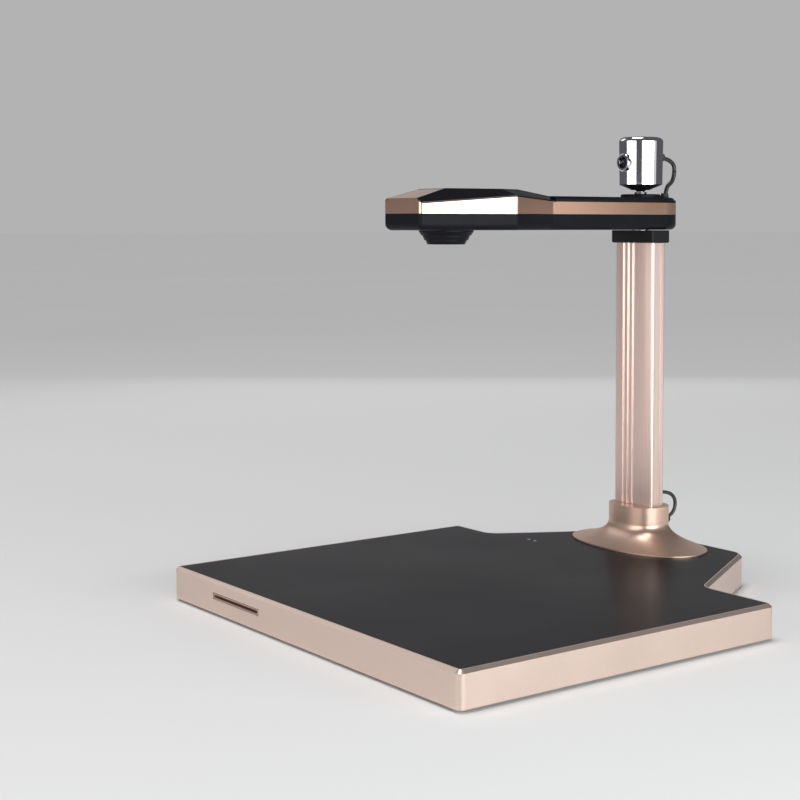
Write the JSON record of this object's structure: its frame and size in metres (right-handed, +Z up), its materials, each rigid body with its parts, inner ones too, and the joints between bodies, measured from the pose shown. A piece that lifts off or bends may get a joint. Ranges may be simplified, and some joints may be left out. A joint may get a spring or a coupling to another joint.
{
  "type": "document camera",
  "caption": "Desktop document camera: flat bed with a card slot, slim column, swivelling arm with a lens facing down, and a small drum camera that pans and tilts on top.",
  "frame": {"origin": "middle of the footprint, on the surface that the feet stand on", "axes": "+X to the user's right, +Y to the back, where the column stands, +Z up"},
  "size_m": [0.319, 0.3368, 0.3149],
  "materials": {
    "champagne": "fine satin champagne paint",
    "champagne_satin": "satin metallic champagne",
    "champagne_aluminium": "anodised rose champagne, drawn lengthwise",
    "champagne_gloss": "polished champagne",
    "deck_black": "black panel with a soft sheen",
    "dark_plate": "black fine grain",
    "dark_steel": "blackened",
    "bright_steel": "plated",
    "foot_rubber": "matte",
    "circuit_board": "green solder mask",
    "chip_black": "moulded",
    "slot_brown": "dark brown",
    "matte_black": "fine grain",
    "satin_black": "satin",
    "gloss_black": "gloss",
    "light_pipe": "smoked clear",
    "lead_grey": "smooth lead sheath",
    "lead_black": "smooth lead sheath",
    "soft_black": "soft moulded",
    "bush_brass": "turned",
    "coated_glass": "coated",
    "lens_black": "dark lens",
    "pod_chrome": "mirror plated"
  },
  "bodies": {
    "bed": {"bed_shell": "champagne", "deck_panel": "deck_black", "bottom_plate": "dark_plate", "bottom_screws": "dark_steel", "rubber_feet": "foot_rubber", "ballast_plate": "bright_steel", "main_board": "circuit_board", "board_chips": "chip_black", "board_screws": "bright_steel", "card_slot_bezel": "slot_brown", "card_reader": "matte_black", "reader_board": "circuit_board", "usb_board": "circuit_board", "usb_socket": "bright_steel", "usb_tongue": "matte_black", "port_bezel": "matte_black", "indicator_lights": "light_pipe", "column_foot": "champagne_satin", "column_screws": "dark_steel", "column_profile": "champagne_aluminium", "column_back_cover": "champagne_aluminium", "lead_loop": "lead_grey", "lead_grommets": "soft_black", "column_cap": "matte_black", "pivot_post": "bright_steel", "pivot_nut": "bright_steel"},
    "arm": {"arm_lower_shell": "satin_black", "arm_frame": "champagne_gloss", "top_inlay": "gloss_black", "arm_screws": "dark_steel", "pivot_bush": "bush_brass", "lens_hood": "satin_black", "lens_barrel": "matte_black", "lens_glass": "coated_glass", "camera_board": "circuit_board", "pod_base": "satin_black", "cable_grommet": "soft_black", "pod_lead": "lead_black"},
    "stem": {"pod_stem": "dark_steel", "stem_clip": "bright_steel"},
    "pod": {"pod_socket": "satin_black", "pod_barrel": "pod_chrome", "pod_core": "matte_black", "pod_board": "circuit_board", "pod_lens_ring": "pod_chrome", "pod_lens": "lens_black", "barrel_grommet": "soft_black"}
  },
  "joints": [
    {"name": "arm_swivel", "type": "hinge", "parent": "bed", "child": "arm", "pos_m": [-0.025, 0.1337, 0.249], "axis": [0, 0, 1], "range_deg": [-90, 90]},
    {"name": "camera_pan", "type": "hinge", "parent": "arm", "child": "stem", "pos_m": [-0.025, 0.1337, 0.2745], "axis": [0, 0, 1], "range_deg": [-50, 50], "deforming": ["pod_lead"]},
    {"name": "camera_tilt", "type": "hinge", "parent": "stem", "child": "pod", "pos_m": [-0.025, 0.1337, 0.282], "axis": [1, 0, 0], "range_deg": [-12, 12], "deforming": ["pod_lead"]}
  ]
}
